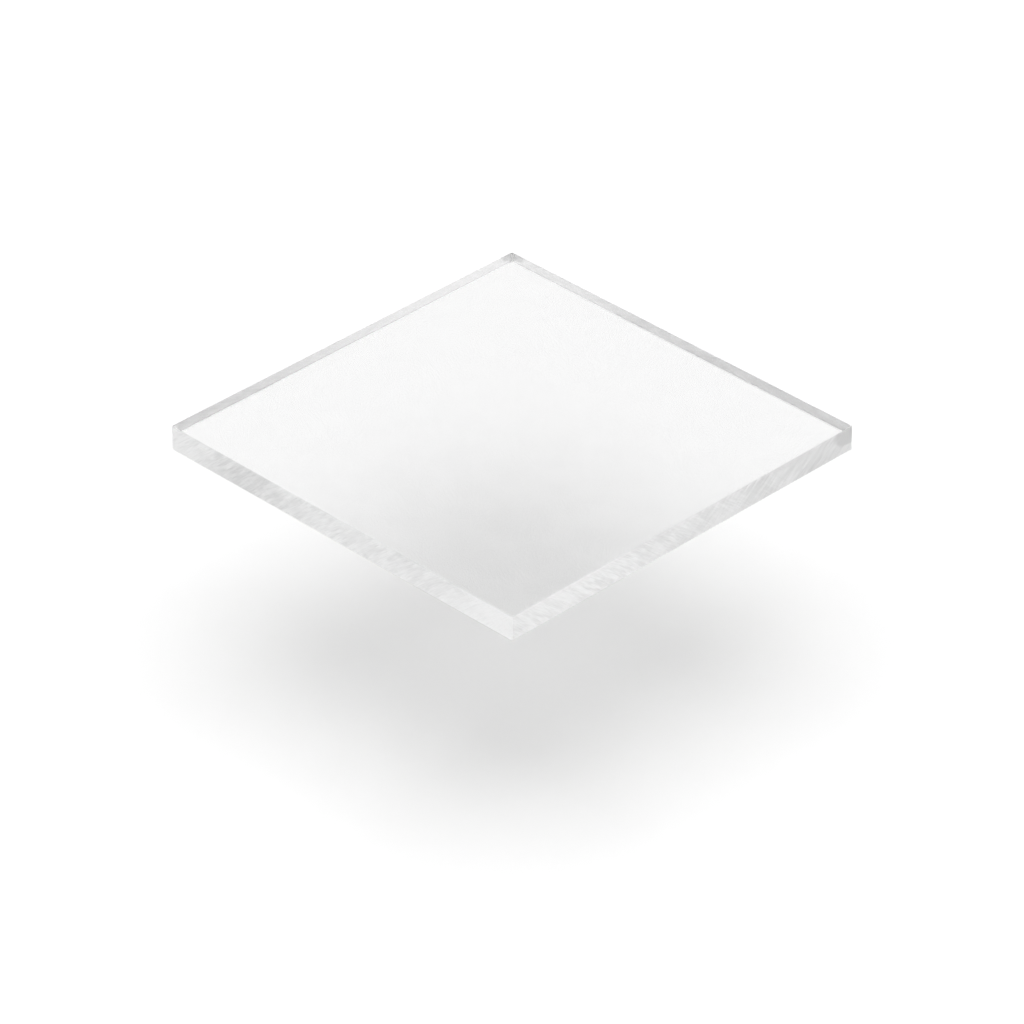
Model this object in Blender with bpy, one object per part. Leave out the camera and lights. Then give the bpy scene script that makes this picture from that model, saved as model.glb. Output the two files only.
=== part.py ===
# A square piece of frosted acrylic sheet, sawn from a larger cast sheet.
# One face is the clear, glossy face that the sheet was cast with. The other, which it
# lies on, is satin. The four edges are as the saw left them, with the sharp arrises
# and the four sharp corners scraped off.
# Metres, +Z up. The origin is the middle of the satin underside.

import math

import bmesh
import bpy

# The piece as it is cut: its two sides, and the cast thickness of a nominal 6 mm sheet.
SIDE_X = 0.100
SIDE_Y = 0.100
THICKNESS = 0.0058

# What the scraper takes off, measured along each of the two faces that meet.
ARRIS = 0.00018
CORNER_BREAK = 0.00025

# Only an edge where two faces meet more squarely than this is an arris.
# The scraped corners turn through 45 degrees and keep their edges.
ARRIS_ANGLE = math.radians(60)

# A face is the top or the underside if its normal leans from Z by less than this.
FLAT_ANGLE = math.radians(1)


# Removes whatever the scene holds.
def clear_scene():
    for obj in list(bpy.data.objects):
        bpy.data.objects.remove(obj)


# A clear acrylic with this roughness, which is what makes a surface gloss, satin or sawn.
def acrylic(name, colour, roughness):
    material = bpy.data.materials.new(name)
    material.use_nodes = True
    shader = material.node_tree.nodes["Principled BSDF"]
    shader.inputs["Base Color"].default_value = (*colour, 1.0)
    shader.inputs["Roughness"].default_value = roughness
    shader.inputs["Metallic"].default_value = 0.0
    shader.inputs["IOR"].default_value = 1.49
    shader.inputs["Transmission Weight"].default_value = 0.9
    material.diffuse_color = (*colour, 1.0)
    return material


# The outline of the piece seen from above, anticlockwise: a rectangle with its corners broken.
def outline():
    half_x = SIDE_X / 2
    half_y = SIDE_Y / 2
    points = []
    for sign_x, sign_y in ((1, 1), (-1, 1), (-1, -1), (1, -1)):
        on_the_end = (sign_x * half_x, sign_y * (half_y - CORNER_BREAK))
        on_the_side = (sign_x * (half_x - CORNER_BREAK), sign_y * half_y)
        turns_here = (on_the_end, on_the_side)
        points += turns_here if sign_x == sign_y else turns_here[::-1]
    return points


# The outline, filled and pulled up to the sheet's thickness.
def sawn_blank(name):
    shape = bmesh.new()
    corners = [shape.verts.new((x, y, 0.0)) for x, y in outline()]
    underside = shape.faces.new(corners)
    pulled = bmesh.ops.extrude_face_region(shape, geom=[underside])["geom"]
    upper = [item for item in pulled if isinstance(item, bmesh.types.BMVert)]
    bmesh.ops.translate(shape, verts=upper, vec=(0.0, 0.0, THICKNESS))
    bmesh.ops.recalc_face_normals(shape, faces=shape.faces)
    mesh = bpy.data.meshes.new(name)
    shape.to_mesh(mesh)
    shape.free()
    blank = bpy.data.objects.new(name, mesh)
    bpy.context.scene.collection.objects.link(blank)
    return blank


# Gives each face its own finish: slot 0 is sawn, slot 1 glossy and slot 2 satin.
def finish_faces(sheet):
    sheet.data.materials.append(acrylic("sawn_edge", (0.80, 0.81, 0.81), 0.55))
    sheet.data.materials.append(acrylic("gloss_face", (0.93, 0.94, 0.94), 0.03))
    sheet.data.materials.append(acrylic("satin_face", (0.93, 0.94, 0.94), 0.45))
    for face in sheet.data.polygons:
        if face.normal.z > math.cos(FLAT_ANGLE):
            face.material_index = 1
        elif face.normal.z < -math.cos(FLAT_ANGLE):
            face.material_index = 2
        else:
            face.material_index = 0


# Scrapes the arris off all round the top and the underside, as one flat narrow bevel.
def scrape_arrises(sheet):
    scraper = sheet.modifiers.new("scraped_arris", "BEVEL")
    scraper.width = ARRIS
    scraper.offset_type = "OFFSET"
    scraper.segments = 1
    scraper.limit_method = "ANGLE"
    scraper.angle_limit = ARRIS_ANGLE
    scraper.material = 0


def build():
    clear_scene()
    sheet = sawn_blank("acrylic_sheet")
    finish_faces(sheet)
    scrape_arrises(sheet)


build()
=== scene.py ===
# The looks of one sawn piece of frosted acrylic sheet: clear and glossy on top, satin underneath,
# with the blade's marks on its four edges. Metres throughout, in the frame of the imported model.

import math

import bpy
import numpy as np
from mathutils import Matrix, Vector


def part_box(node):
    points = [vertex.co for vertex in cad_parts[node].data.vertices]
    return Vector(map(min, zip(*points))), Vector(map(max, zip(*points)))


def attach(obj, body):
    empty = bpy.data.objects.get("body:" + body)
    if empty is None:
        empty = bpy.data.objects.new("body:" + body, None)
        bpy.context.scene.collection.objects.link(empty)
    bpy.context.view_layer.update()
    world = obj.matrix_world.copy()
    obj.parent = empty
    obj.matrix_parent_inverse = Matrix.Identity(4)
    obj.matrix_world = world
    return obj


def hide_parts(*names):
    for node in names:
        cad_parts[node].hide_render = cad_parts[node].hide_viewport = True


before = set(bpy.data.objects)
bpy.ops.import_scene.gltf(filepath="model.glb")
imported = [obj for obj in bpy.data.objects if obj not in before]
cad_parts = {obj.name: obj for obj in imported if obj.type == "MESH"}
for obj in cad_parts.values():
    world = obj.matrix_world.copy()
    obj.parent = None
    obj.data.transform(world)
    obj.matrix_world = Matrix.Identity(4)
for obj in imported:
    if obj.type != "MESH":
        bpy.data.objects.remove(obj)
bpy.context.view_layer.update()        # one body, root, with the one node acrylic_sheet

sheetLow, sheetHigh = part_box("acrylic_sheet")
sheetSize = sheetHigh - sheetLow
print("frame loaded, sheet", [round(side * 1000, 2) for side in sheetSize], "mm")


# A ramp from 0 to 1 that eases in and out: 3 x^2 - 2 x^3.
def ramp(share):
    return share * share * (3 - 2 * share)


# A step from 0 to 1 along that ramp, while the value goes from start to end.
def ease(value, start, end):
    return ramp(np.clip((value - start) / (end - start), 0, 1))


# A smooth random surface between -1 and 1: random heights at the corners of a grid of cells, the four
# round a point each weighed by how near it is, along the ramp. The heights repeat after 1024 cells,
# which is further than any edge is long.
def patches(along, up, cellAlong, cellUp, seed):
    cells = 1024
    heights = np.random.default_rng(seed).uniform(-1, 1, (cells, cells))
    column = np.floor(along / cellAlong).astype(int)
    row = np.floor(up / cellUp).astype(int)
    across = ramp(along / cellAlong - column)
    rise = ramp(up / cellUp - row)
    left, right = column % cells, (column + 1) % cells
    low, high = row % cells, (row + 1) % cells
    lower = heights[left, low] * (1 - across) + heights[right, low] * across
    upper = heights[left, high] * (1 - across) + heights[right, high] * across
    return lower * (1 - rise) + upper * rise


# The blank as the saw and the scraper leave it.
blank = {
    "cornerBreak": 0.00025,      # scraped off each upright corner, along both of its edges
    "arris": 0.00018,            # scraped off each long arris, along both of its faces
    "arrisWander": 0.15,         # share by which the scraper bites less
    "wanderLength": 0.006,       # how far along an edge one such bite reaches
    "sideShift": 0.29,           # from one side's bites to the next side's, so that no two are alike
    "columnPitch": 0.00015,      # spacing of the mesh along an edge
    "cornerColumns": 4,          # mesh columns across a broken corner
    "rows": 31,                  # mesh rows up a sawn edge
    "sharpAngle": 30.0,          # faces that meet at more than this keep a crisp line
    "seed": 51,
}

# The circular blade. Teeth pass once upwards at its front and once downwards at its back,
# so each edge has two families of arcs that cross. The sides come anticlockwise from -Y, and
# each has values that follow it from its start to its end.
saw = {
    "bladeRadius": 0.125,
    "arborDrop": 0.094,          # from the underside down to the arbor, which sets how far the arcs lean
    "frontShare": ((0.0, 0.1, 0.1, 0.2), (0.95, 0.9, 0.4, 0.0), (0.2, 0.6, 0.8, 0.5), (0.7, 0.4, 0.1, 0.2)),
    "feed": 0.0024,              # between the high teeth's marks, which are thin and light
    "feedLength": 0.010,
    "feedStrength": 0.38,
    "feedCrest": 0.6,            # how light such a mark is,
    "feedFall": 2.2,             # and how far its tone falls towards the next one
    # The width, length and strength of the marks of a few teeth, and of a single tooth.
    "marks": ((0.0009, 0.007, 0.50), (0.00038, 0.003, 0.60)),
    "carvedMarks": 1,            # the rest are too narrow for the mesh, and only colour it
    "familySeeds": (0, 5),       # added to the seed, for the front and the back arcs
    "crispness": 3.0,            # how sharply light marks turn into dark ones
    "markContrast": 0.25,
    "pressure": 0.8,             # how hard the blade rubs, which its patches vary between the limits
    "pressureLimits": (0.3, 1.2),
    "depth": 0.000022,           # deepest groove
    "cleanSides": (2, 3),        # kept clear; the near sides' extra whiteness is painted light
    # Painted light and shade along each side, with the blade's bloom: near sides lightest at the front
    # corner;
    # far sides light towards the back corner and dark where, seen from inside, they mirror the shadow below.
    "bloomAndPaintedLight": ((1.50, 0.05, 0.80, 0.75, 0.80, 2.20), (0.80, 1.20, 0.80, 0.70, 0.65, 0.45),
              (0.00, -0.05, -0.05, 0.10, 0.90, 1.20), (2.00, 2.00, 2.20, 1.60, 0.60, 0.20)),
    "bloomAndPaintedLightContrast": 0.55,
    "blotchContrast": 0.2,
    # Where the offcut parted it rubbed the edge flat, and painted shade darkens it there: the side, which
    # end of it (1 is the last), how far along it, how far down from the top, and how square the patch is (1
    # is a triangle).
    "rubbedAndShaded": ((1, 1, 0.0055, 0.0040, 4.0), (2, 1, 0.0042, 0.0062, 1.2), (3, -1, 0.0042, 0.0062, 1.2)),
    "rubbedRim": (0.85, 1.05),   # shares of its reach between which a rubbed patch fades out
    "rubbedShadeShare": 0.8,          # of the tone taken away there, a painted shade
    # What varies along an edge in patches: by how much, their length and height, and their own seed.
    "frontSharePatches": (0.35, 0.006, 0.003, 21),
    "pressurePatches": (0.5, 0.007, 0.003, 22),
    "wideBlotches": (0.6, 0.010, 0.005, 23),
    "smallBlotches": (0.4, 0.0026, 0.0018, 24),
    "rubbedRimPatches": (0.0006, 0.0012, 0.0012, 25),
    "sideShift": 0.37,           # from one side's patches to the next side's, so that no two are alike
    "seed": 17,
}


# The outline seen from above, anticlockwise from the -Y side: a rectangle with its corners cut across.
# Gives its turning points and, at each, the step that moves both of its neighbouring sides in by one
# metre, which is minus the sum of their two normals, divided by 1 plus the normals' dot product.
def turningPoints():
    normals = np.array([(0, -1), (1, 0), (0, 1), (-1, 0)], float)
    tangents = np.roll(normals, -1, axis=0)
    facets = (normals + tangents) / math.sqrt(2)      # the normal of the cut corner after each side
    before = np.roll(facets, 1, axis=0)
    middle = np.array([(sheetLow.x + sheetHigh.x) / 2, (sheetLow.y + sheetHigh.y) / 2])
    half = np.array([sheetSize.x / 2, sheetSize.y / 2])
    starts = middle + normals * half - tangents * (half - blank["cornerBreak"])
    ends = middle + normals * half + tangents * (half - blank["cornerBreak"])
    inStarts = -(normals + before) / (1 + (normals * before).sum(1, keepdims=True))
    inEnds = -(normals + facets) / (1 + (normals * facets).sum(1, keepdims=True))
    points = np.stack([starts, ends], axis=1).reshape(8, 2)
    inwards = np.stack([inStarts, inEnds], axis=1).reshape(8, 2)
    return points, inwards


# Walks the outline and gives, for each mesh column, its place, its inward step, the distance along
# its side from the side's middle, the number of the side, and 1 where it is on a broken corner.
# The walk is at a whole number on each turning point, and a broken corner belongs to the side before it.
def walkOutline():
    points, inwards = turningPoints()
    lengths = np.linalg.norm(np.roll(points, -1, axis=0) - points, axis=1)
    sideColumns = np.round(lengths / blank["columnPitch"])
    counts = np.where(np.arange(8) % 2 == 0, sideColumns, blank["cornerColumns"]).astype(int)
    walk = np.concatenate([leg + np.arange(count) / count for leg, count in enumerate(counts)])

    # Straight lines between the values at the turning points.
    def between(corners):
        closed = np.vstack([corners, corners[:1]])
        return np.stack([np.interp(walk, np.arange(9), closed[:, axis]) for axis in (0, 1)], axis=1)

    leg = np.floor(walk).astype(int)
    onCorner = leg % 2 == 1
    along = (walk - leg - 0.5) * lengths[leg] + onCorner * (lengths[leg - 1] + lengths[leg]) / 2
    broken = onCorner | (walk == leg)
    return between(points), between(inwards), along, leg // 2, broken.astype(float)


# The length of a side: the even ones run along X, the odd ones along Y.
def sideLength(side):
    return np.where(side % 2 == 0, sheetSize.x, sheetSize.y)


# Straight lines between the values that follow a side from its start to its end.
def followSide(values, along, side):
    table = np.array(values)
    place = np.clip(along / sideLength(side) + 0.5, 0, 1) * (table.shape[1] - 1)
    knot = np.minimum(np.floor(place).astype(int), table.shape[1] - 2)
    return table[side, knot] * (1 - place + knot) + table[side, knot + 1] * (place - knot)


# Where the offcut rubbed the edge flat and shade is painted on it, from 0 to 1. A patch fades out near where
# (distance from the end / length)^n + (distance down / height)^n is 1, with a ragged rim.
def rubbedAndShadedPatches(along, up, side, ragged):
    rubbedAndShaded = np.zeros(along.shape)
    for where, end, length, height, squareness in saw["rubbedAndShaded"]:
        fromEnd = np.maximum(sideLength(side) / 2 - end * along + ragged, 0) / length
        fromTop = np.maximum(sheetSize.z - up + ragged, 0) / height
        reach = (fromEnd ** squareness + fromTop ** squareness) ** (1 / squareness)
        rubbedAndShaded = np.maximum(rubbedAndShaded, (side == where) * (1 - ease(reach, *saw["rubbedRim"])))
    return rubbedAndShaded


# How the blade marked a point of an edge, with painted light and shade along each side. A mark is an arc
# of the blade's radius round the arbor, so along - sqrt(radius^2 - height^2) stays the same on a front arc,
# and along + sqrt(...) on a back arc. Each family is a sum of random surfaces that are long with the arc and
# narrow across it, the widest one folded at zero so that it has thin crests, made crisp by a hyperbolic
# tangent. The two families are mixed by the front arcs' share. Bloom is how white the edge is: partly the
# blade's heat and dust with random blotches, and partly painted light and shade from each side's table. It
# leans with the arcs. The tone, from 0 for scored to 1 for white, is 0.5 + 0.5 tanh(2 (a marks + b (bloom -
# 0.5))), where a and b are the two contrasts.
# Gives the fields of the surface, and the relief of the marks that are wide enough for the mesh.
def bladeMarks(along, up, side):
    lean = np.sqrt(saw["bladeRadius"] ** 2 - (up + saw["arborDrop"]) ** 2)
    place = along + side * saw["sideShift"]
    front, back = place - lean, place + lean

    def inPatches(what):
        amount, length, height, shift = saw[what]
        return amount * patches(place, up, length, height, saw["seed"] + shift)

    frontHeld = np.clip(followSide(saw["frontShare"], along, side) + inPatches("frontSharePatches"), 0, 1)
    pressure = np.clip(saw["pressure"] + inPatches("pressurePatches"), *saw["pressureLimits"])

    def family(across, lengthwise, seed, layers):
        folded = np.abs(patches(across, lengthwise, saw["feed"], saw["feedLength"], seed))
        total = saw["feedStrength"] * (saw["feedCrest"] - saw["feedFall"] * folded)
        for i, (width, length, strength) in enumerate(saw["marks"][:layers]):
            total = total + strength * patches(across, lengthwise, width, length, seed + 1 + i)
        return np.tanh(saw["crispness"] * total)

    def bothFamilies(layers):
        frontSeed, backSeed = (saw["seed"] + shift for shift in saw["familySeeds"])
        frontMarks = family(front, back, frontSeed, layers)
        backMarks = family(back, front, backSeed, layers)
        return pressure * (frontHeld * frontMarks + (1 - frontHeld) * backMarks)

    marks, relief = bothFamilies(len(saw["marks"])), bothFamilies(saw["carvedMarks"])
    leaning = along + (1 - 2 * frontHeld) * (lean - lean.mean())
    blotch = inPatches("wideBlotches") + inPatches("smallBlotches")
    # Painted light and shade from the side tables, with the bloom's random blotches.
    bloomAndPaintedLight = followSide(saw["bloomAndPaintedLight"], leaning, side) - 0.5 + saw["blotchContrast"] * blotch
    tone = 0.5 + 0.5 * np.tanh(2 * (saw["markContrast"] * marks + saw["bloomAndPaintedLightContrast"] * bloomAndPaintedLight))
    rubbedAndShaded = rubbedAndShadedPatches(along, up, side, inPatches("rubbedRimPatches"))
    # The rubbed patches are darker in tone: painted shade.
    fields = {"tone": tone * (1 - saw["rubbedShadeShare"] * rubbedAndShaded), "frontArc": front, "backArc": back,
              "frontHeld": frontHeld, "rubbedAndShaded": rubbedAndShaded}
    return fields, relief * (1 - rubbedAndShaded)


# The material slots of the skin.
sawn, glossy, satin, scrapedArris, cleanSawn, scrapedCorner = range(6)


# The skin of the sheet as a grid of points: columns walk round the outline, rows go from the rim of the
# top face over the upper arris, down the sawn edge and over the lower arris to the rim of the underside.
# A point is its column's place, moved in by what the scraper or the blade took off there.
# Gives the points, the fields at each of them, and the slot of each face between two rows.
def skinGrid():
    place, inward, along, side, broken = walkOutline()
    columns, rows = len(along), blank["rows"]

    # What the scraper took off: less in patches along an edge, and in full at the corners.
    def bite(shift):
        shifted, seed = along + side * blank["sideShift"], blank["seed"] + shift
        wander = 0.5 + 0.5 * patches(shifted, 0 * along, blank["wanderLength"], 1, seed)
        return blank["arris"] * (1 - blank["arrisWander"] * wander * (1 - broken))

    upperIn, upperDown, lowerIn, lowerUp = bite(0), bite(1), bite(2), bite(3)
    rise = np.linspace(1, 0, rows)[:, None]
    up = lowerUp * (1 - rise) + (sheetSize.z - upperDown) * rise
    everyRow = np.ones((rows, 1), int)
    fields, relief = bladeMarks(along * everyRow, up, side * everyRow)
    groove = saw["depth"] * np.clip(0.5 - 0.5 * relief, 0, 1) * (1 - broken)
    insets = np.vstack([upperIn, groove, lowerIn])[..., None]
    heights = np.vstack([np.full(columns, sheetSize.z), up, np.zeros(columns)])[..., None] + sheetLow.z
    points = np.concatenate([place + inward * insets, heights], axis=2)

    # The rims of the two faces take the marks of the rows beside them.
    fields = {label: np.vstack([field[0], field, field[-1]]) for label, field in fields.items()}

    # The lower arris keeps the finish of its side.
    slots = np.where(np.isin(side, saw["cleanSides"]), cleanSawn, sawn) * np.ones((rows + 1, 1), int)
    slots[:, (broken * np.roll(broken, -1)) > 0] = scrapedCorner
    slots[0] = scrapedArris
    return points, fields, slots


# The mesh of the skin. The top and the underside close it, each one flat polygon inside its rim.
def sheetSkin(name):
    points, fields, slots = skinGrid()
    rows, columns = points.shape[:2]
    here = np.arange(rows * columns).reshape(rows, columns)
    beside = np.roll(here, -1, axis=1)
    strips = np.stack([here[:-1], here[1:], beside[1:], beside[:-1]], axis=2)
    faces = strips.reshape(-1, 4).tolist() + [here[0].tolist(), here[-1][::-1].tolist()]
    mesh = bpy.data.meshes.new(name)
    mesh.from_pydata(points.reshape(-1, 3).tolist(), [], faces)
    mesh.polygons.foreach_set("material_index", np.append(slots, (glossy, satin)).astype(np.int32))
    mesh.shade_smooth()
    mesh.set_sharp_from_angle(angle=math.radians(blank["sharpAngle"]))
    for label, field in fields.items():
        layer = mesh.attributes.new(label, "FLOAT", "POINT")
        layer.data.foreach_set("value", field.astype(np.float32).ravel())
    skin = bpy.data.objects.new(name, mesh)
    bpy.context.scene.collection.objects.link(skin)
    print(name, "has", len(mesh.vertices), "vertices and", len(mesh.polygons), "faces")
    return skin


# A new material of clear acrylic with one Principled shader, its plain numbers on its own sockets.
def acrylic(name, transmission):
    material = bpy.data.materials.new(name)
    material.use_nodes = True
    shader = material.node_tree.nodes["Principled BSDF"]
    shader.inputs["IOR"].default_value = 1.49
    shader.inputs["Transmission Weight"].default_value = transmission
    return material, shader


# Adds a node. An input is given as a number, a colour or vector, or the output that feeds it.
def addNode(tree, kind, inputs, **properties):
    node = tree.nodes.new(kind)
    for key, value in properties.items():
        setattr(node, key, value)
    for key, value in inputs.items():
        if isinstance(value, bpy.types.NodeSocket):
            tree.links.new(value, node.inputs[key])
        else:
            node.inputs[key].default_value = value
    return node


# Where on the piece a point is.
def pointPlace(tree):
    return addNode(tree, "ShaderNodeTexCoord", {}).outputs["Object"]


# One of the fields that the skin carries.
def readField(tree, label):
    return addNode(tree, "ShaderNodeAttribute", {}, attribute_name=label).outputs["Fac"]


def calculate(tree, operation, first, second, third=0.0):
    return addNode(tree, "ShaderNodeMath", {0: first, 1: second, 2: third}, operation=operation).outputs[0]


# A value between two others.
def mixValues(tree, share, first, second):
    return addNode(tree, "ShaderNodeMix", {0: share, 2: first, 3: second}).outputs[0]


# Noise around 0.5, in spots of the given size.
def noise(tree, place, size, detail):
    spots = addNode(tree, "ShaderNodeTexNoise", {"Vector": place, "Scale": 1 / size, "Detail": detail})
    return spots.outputs["Fac"]


# A value that runs from low to high, laid over a span.
def spread(tree, value, low, high, span):
    return addNode(tree, "ShaderNodeMapRange", {"Value": value, "From Min": low, "From Max": high,
                                                "To Min": span[0], "To Max": span[1]}).outputs[0]


# Feeds the shader its colour, a share of the way from a dark tone to a pale one.
def tint(tree, shader, share, dark, pale):
    mix = addNode(tree, "ShaderNodeMix", {0: share, 6: (*dark, 1), 7: (*pale, 1)}, data_type="RGBA")
    tree.links.new(mix.outputs[2], shader.inputs["Base Color"])


# Feeds the shader its roughness, and a relief as deep as the given depth.
def roughen(tree, shader, roughness, height, depth):
    bump = addNode(tree, "ShaderNodeBump", {"Height": height, "Distance": depth})
    tree.links.new(roughness, shader.inputs["Roughness"])
    tree.links.new(bump.outputs[0], shader.inputs["Normal"])


# What the saw left: clear acrylic under a white bloom, streaked along the arcs, and painted light and
# shade in how white each side is.
sawnFinish = {
    "scoredTone": (0.60, 0.60, 0.60),
    "bloomAndPaintedLightTone": (1.0, 1.0, 1.0),
    "roughness": (0.30, 0.42),           # of a scored and of a white spot
    # The near sides show more of their white than the clear far sides: painted light in place of a front
    # lamp.
    "transmission": 0.50,
    "cleanRoughness": (0.65, 0.28),
    "cleanTransmission": 0.98,
    "scratchWidth": 0.00026,
    "scratchLength": 0.0045,
    "scratchContrast": 0.45,
    "scratchDepth": 0.000003,
}


def sawnEdge(name, roughness, transmission):
    material, shader = acrylic(name, transmission)
    tree = material.node_tree
    frontArc, backArc = readField(tree, "frontArc"), readField(tree, "backArc")
    rubbedAndShaded = readField(tree, "rubbedAndShaded")

    # Scratches finer than the mesh, from -1 to 1: noise that is long with the arc and narrow across it.
    def scratches(across, lengthwise):
        narrow = calculate(tree, "MULTIPLY", across, 1 / sawnFinish["scratchWidth"])
        long = calculate(tree, "MULTIPLY", lengthwise, 1 / sawnFinish["scratchLength"])
        place = addNode(tree, "ShaderNodeCombineXYZ", {0: narrow, 1: long}).outputs[0]
        return calculate(tree, "MULTIPLY_ADD", noise(tree, place, size=1.0, detail=1.0), 2.0, -1.0)

    fine = mixValues(tree, readField(tree, "frontHeld"), scratches(backArc, frontArc),
                     scratches(frontArc, backArc))
    fine = calculate(tree, "MULTIPLY", fine, calculate(tree, "SUBTRACT", 1.0, rubbedAndShaded))
    whiteness = calculate(tree, "MULTIPLY_ADD", fine, sawnFinish["scratchContrast"], readField(tree, "tone"))
    tint(tree, shader, whiteness, sawnFinish["scoredTone"], sawnFinish["bloomAndPaintedLightTone"])
    roughen(tree, shader, spread(tree, whiteness, 0.0, 1.0, roughness), fine, sawnFinish["scratchDepth"])
    return material


# The clear face keeps the casting glass's polish, with a ripple too shallow to see straight on
# and the wiping marks of a cloth.
glossFinish = {
    "tone": (1.0, 1.0, 1.0),
    "roughness": (0.02, 0.045),          # of a clean spot and of a wiping mark
    "wipeLength": 0.03,
    "wipeWidth": 0.0008,
    "wipeTurn": 28.0,                    # how far the wiping slants from the sides
    "wipeNoise": (0.4, 0.75),            # the noise that those two roughnesses are laid over
    "rippleLength": 0.02,
    "rippleDepth": 0.00002,
}


def glossFace(name):
    material, shader = acrylic(name, transmission=1.0)
    shader.inputs["Base Color"].default_value = (*glossFinish["tone"], 1)
    tree = material.node_tree
    place = pointPlace(tree)
    turned = addNode(tree, "ShaderNodeMapping", {
        "Vector": place, "Rotation": (0, 0, math.radians(glossFinish["wipeTurn"])),
        "Scale": (1 / glossFinish["wipeLength"], 1 / glossFinish["wipeWidth"], 1)}).outputs[0]
    wipes = noise(tree, turned, size=1.0, detail=3.0)
    ripple = noise(tree, place, glossFinish["rippleLength"], detail=1.0)
    rough = spread(tree, wipes, *glossFinish["wipeNoise"], glossFinish["roughness"])
    roughen(tree, shader, rough, ripple, glossFinish["rippleDepth"])
    return material


# The satin face: an even fine grain, a little smoother and rougher in soft clouds.
satinFinish = {
    "tone": (0.87, 0.87, 0.87),
    "roughness": (0.25, 0.31),
    "roughnessNoise": (0.3, 0.7),        # the noise that those two roughnesses are laid over
    "grain": 0.00016,
    "grainDepth": 0.000004,
    "cloud": 0.012,
    "cloudShare": 0.08,
}


def satinFace(name):
    material, shader = acrylic(name, transmission=1.0)
    shader.inputs["Base Color"].default_value = (*satinFinish["tone"], 1)
    tree = material.node_tree
    place = pointPlace(tree)
    grain = noise(tree, place, satinFinish["grain"], detail=2.0)
    cloud = noise(tree, place, satinFinish["cloud"], detail=2.0)
    both = mixValues(tree, satinFinish["cloudShare"], grain, cloud)
    rough = spread(tree, both, *satinFinish["roughnessNoise"], satinFinish["roughness"])
    roughen(tree, shader, rough, grain, satinFinish["grainDepth"])
    return material


# The scraper leaves a smoother facet than the saw, in the tone of the edge that it was scraped off,
# with the short cross marks of its chatter. The tones are those beside a scored and a white spot.
scrapedFinish = {
    "cornerTones": ((0.76, 0.76, 0.76), (1.0, 1.0, 1.0)),
    "arrisTones": ((0.55, 0.55, 0.55), (0.80, 0.80, 0.80)),      # darker than the corners' tones
    "roughness": (0.32, 0.45),
    "roughnessNoise": (0.35, 0.65),      # the noise that those two roughnesses are laid over
    "transmission": 0.55,
    "chatter": 0.0007,
    "chatterDepth": 0.000004,
}


def scrapedEdge(name, tones):
    material, shader = acrylic(name, scrapedFinish["transmission"])
    tree = material.node_tree
    tint(tree, shader, readField(tree, "tone"), *tones)
    chatter = noise(tree, pointPlace(tree), scrapedFinish["chatter"], detail=2.0)
    rough = spread(tree, chatter, *scrapedFinish["roughnessNoise"], scrapedFinish["roughness"])
    roughen(tree, shader, rough, chatter, scrapedFinish["chatterDepth"])
    return material


sheet = sheetSkin("frosted_sheet")
finishes = {
    sawn: sawnEdge("sawn_edge", sawnFinish["roughness"], sawnFinish["transmission"]),
    glossy: glossFace("gloss_face"),
    satin: satinFace("satin_face"),
    scrapedArris: scrapedEdge("scraped_arris", scrapedFinish["arrisTones"]),
    cleanSawn: sawnEdge("clean_sawn_edge", sawnFinish["cleanRoughness"], sawnFinish["cleanTransmission"]),
    scrapedCorner: scrapedEdge("scraped_corner", scrapedFinish["cornerTones"]),
}
for slot in sorted(finishes):
    sheet.data.materials.append(finishes[slot])
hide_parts("acrylic_sheet")
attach(sheet, "root")
print("sheet finished:", [material.name for material in sheet.data.materials])

# The camera stands as the photograph's did: corner on, and looking down.
cameraSet = {
    "azimuth": 45.0,
    "elevation": 33.12,
    "distance": 1.2776,
    "lens": 214.6,
    "sensor": 36.0,
    "aimHeight": -0.01553,       # the picture's middle falls this far up the sheet's upright axis
    "nearest": 0.01,             # what it shows starts and ends this far from it
    "farthest": 20.0,
}


def placeCamera():
    azimuth, elevation = math.radians(cameraSet["azimuth"]), math.radians(cameraSet["elevation"])
    back = Vector((math.sin(azimuth) * math.cos(elevation), -math.cos(azimuth) * math.cos(elevation),
                   math.sin(elevation)))
    data = bpy.data.cameras.new("photo_camera")
    data.lens = cameraSet["lens"]
    data.sensor_width = cameraSet["sensor"]
    data.clip_start = cameraSet["nearest"]
    data.clip_end = cameraSet["farthest"]
    camera = bpy.data.objects.new("photo_camera", data)
    camera.location = Vector((0, 0, cameraSet["aimHeight"])) + back * cameraSet["distance"]
    camera.rotation_euler = back.to_track_quat("Z", "Y").to_euler()
    bpy.context.scene.collection.objects.link(camera)
    bpy.context.scene.camera = camera


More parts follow.
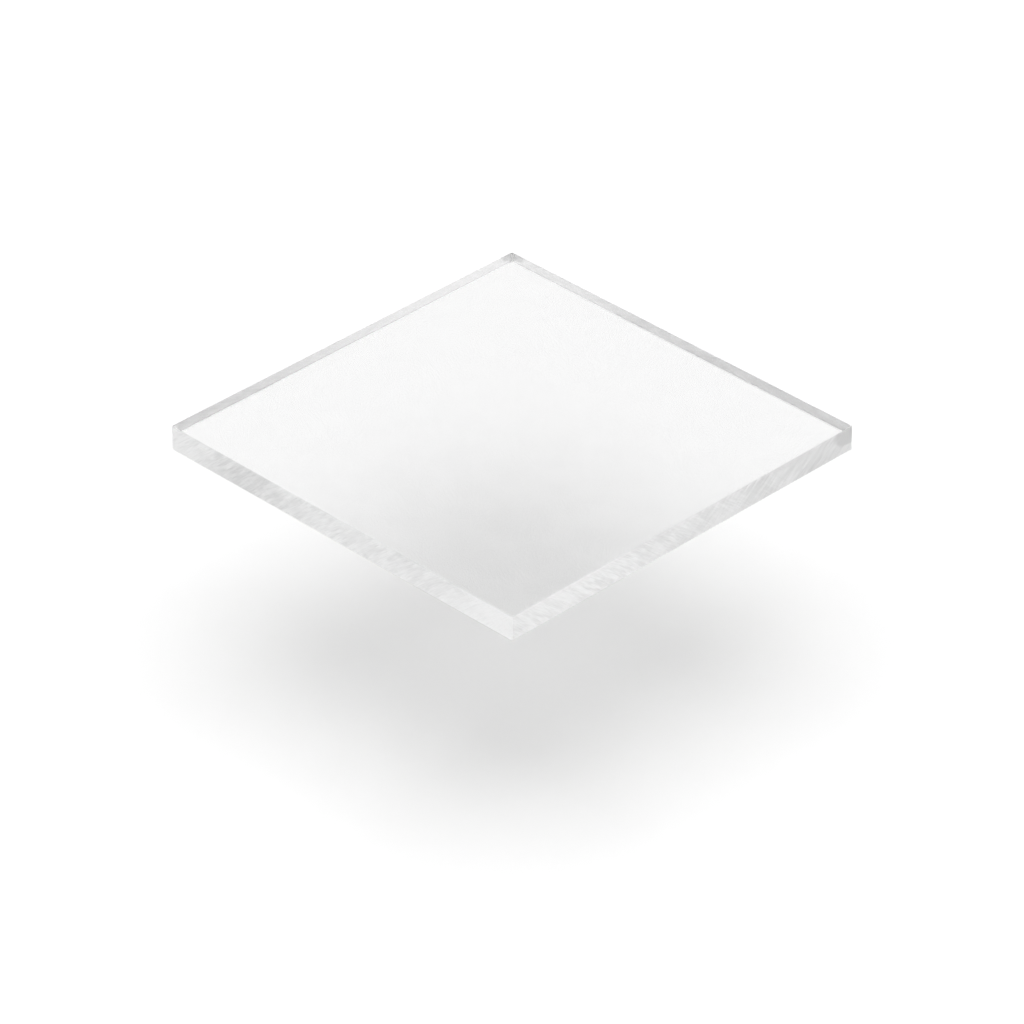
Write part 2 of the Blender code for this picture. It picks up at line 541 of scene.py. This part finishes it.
# Pale grey paper below, a white world round it and one broad soft lamp straight above. Together they
# bring the open paper to white, and where the sheet stands in the lamp's way they leave its shadow.
studio = {
    "floorHeight": -0.05,        # the sheet is pictured above the floor
    "floorHalf": 4.0,
    "paperColour": (0.635, 0.635, 0.635),
    "worldLevel": 0.80,          # as light on a rough surface; the camera, polish and clear acrylic see 1
    "overheadLevel": 0.86,       # how bright the lamp alone makes a white surface that faces it
    "overheadAngle": 60.0,       # how broad the lamp looks from below, which softens the shadow
    "lightBounces": 16,          # light turns back many times inside the sheet
}


def layFloor():
    half, height = studio["floorHalf"], studio["floorHeight"]
    mesh = bpy.data.meshes.new("studio_floor")
    corners = [(-half, -half, height), (half, -half, height), (half, half, height), (-half, half, height)]
    mesh.from_pydata(corners, [], [(0, 1, 2, 3)])
    floor = bpy.data.objects.new("studio_floor", mesh)
    bpy.context.scene.collection.objects.link(floor)
    material = bpy.data.materials.new("floor_paper")
    material.use_nodes = True
    shader = material.node_tree.nodes["Principled BSDF"]
    shader.inputs["Base Color"].default_value = (*studio["paperColour"], 1)
    shader.inputs["Roughness"].default_value = 1.0
    shader.inputs["Specular IOR Level"].default_value = 0.0
    mesh.materials.append(material)


def hangLamp():
    data = bpy.data.lights.new("overhead_lamp", "SUN")
    data.energy = studio["overheadLevel"] * math.pi
    data.angle = math.radians(studio["overheadAngle"])
    lamp = bpy.data.objects.new("overhead_lamp", data)      # unturned, a sun shines straight down
    lamp.location = (0, 0, 1)
    lamp.visible_glossy = False      # seen from above, the polished face would mirror its rim
    bpy.context.scene.collection.objects.link(lamp)


def lightWorld():
    world = bpy.data.worlds.new("studio_white")
    bpy.context.scene.world = world
    world.use_nodes = True
    tree = world.node_tree
    background = tree.nodes["Background"]
    background.inputs["Color"].default_value = (1, 1, 1, 1)
    scattered = addNode(tree, "ShaderNodeLightPath", {}).outputs["Diffuse Depth"]
    level = spread(tree, scattered, 0.0, 1.0, (1.0, studio["worldLevel"]))
    tree.links.new(level, background.inputs["Strength"])


placeCamera()
layFloor()
hangLamp()
lightWorld()
bpy.context.scene.view_settings.view_transform = "Standard"
cycles = bpy.context.scene.cycles
cycles.max_bounces = cycles.glossy_bounces = cycles.transmission_bounces = studio["lightBounces"]
print("studio set")
